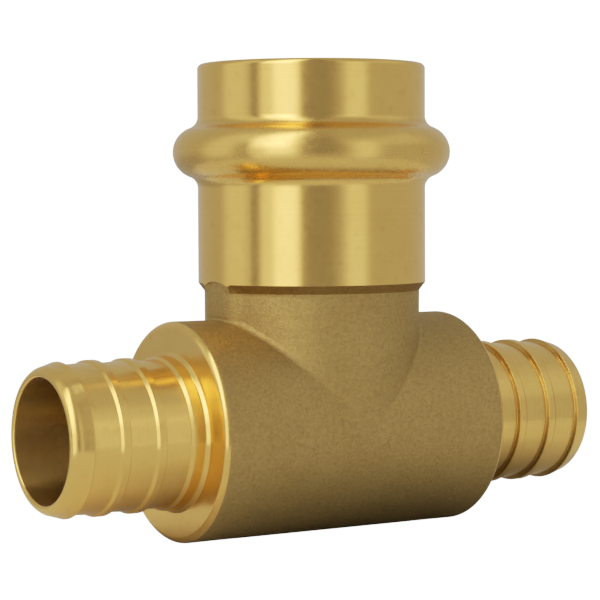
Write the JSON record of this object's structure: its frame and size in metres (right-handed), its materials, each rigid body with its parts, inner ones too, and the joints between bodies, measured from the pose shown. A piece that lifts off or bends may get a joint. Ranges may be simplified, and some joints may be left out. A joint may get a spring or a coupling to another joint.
{
  "type": "press to barb transition tee",
  "caption": "Cast brass pipe tee with a beaded press socket on the branch and ribbed insert barbs on both ends of the run.",
  "frame": {"origin": "the point where the axis of the run crosses the axis of the branch", "axes": "+Z along the branch, out of the press socket; +X along the run, out of one barb"},
  "size_m": [0.0708, 0.0326, 0.0549],
  "materials": {
    "cast_brass": "shot-blasted casting skin, matt, fine grain",
    "turned_brass": "satin turned surface with fine tool lines round the axis",
    "seal_rubber": "moulded elastomer, lightly greased"
  },
  "bodies": {
    "root": {"tee_casting": "cast_brass", "press_seal_ring": "seal_rubber"}
  },
  "joints": []
}
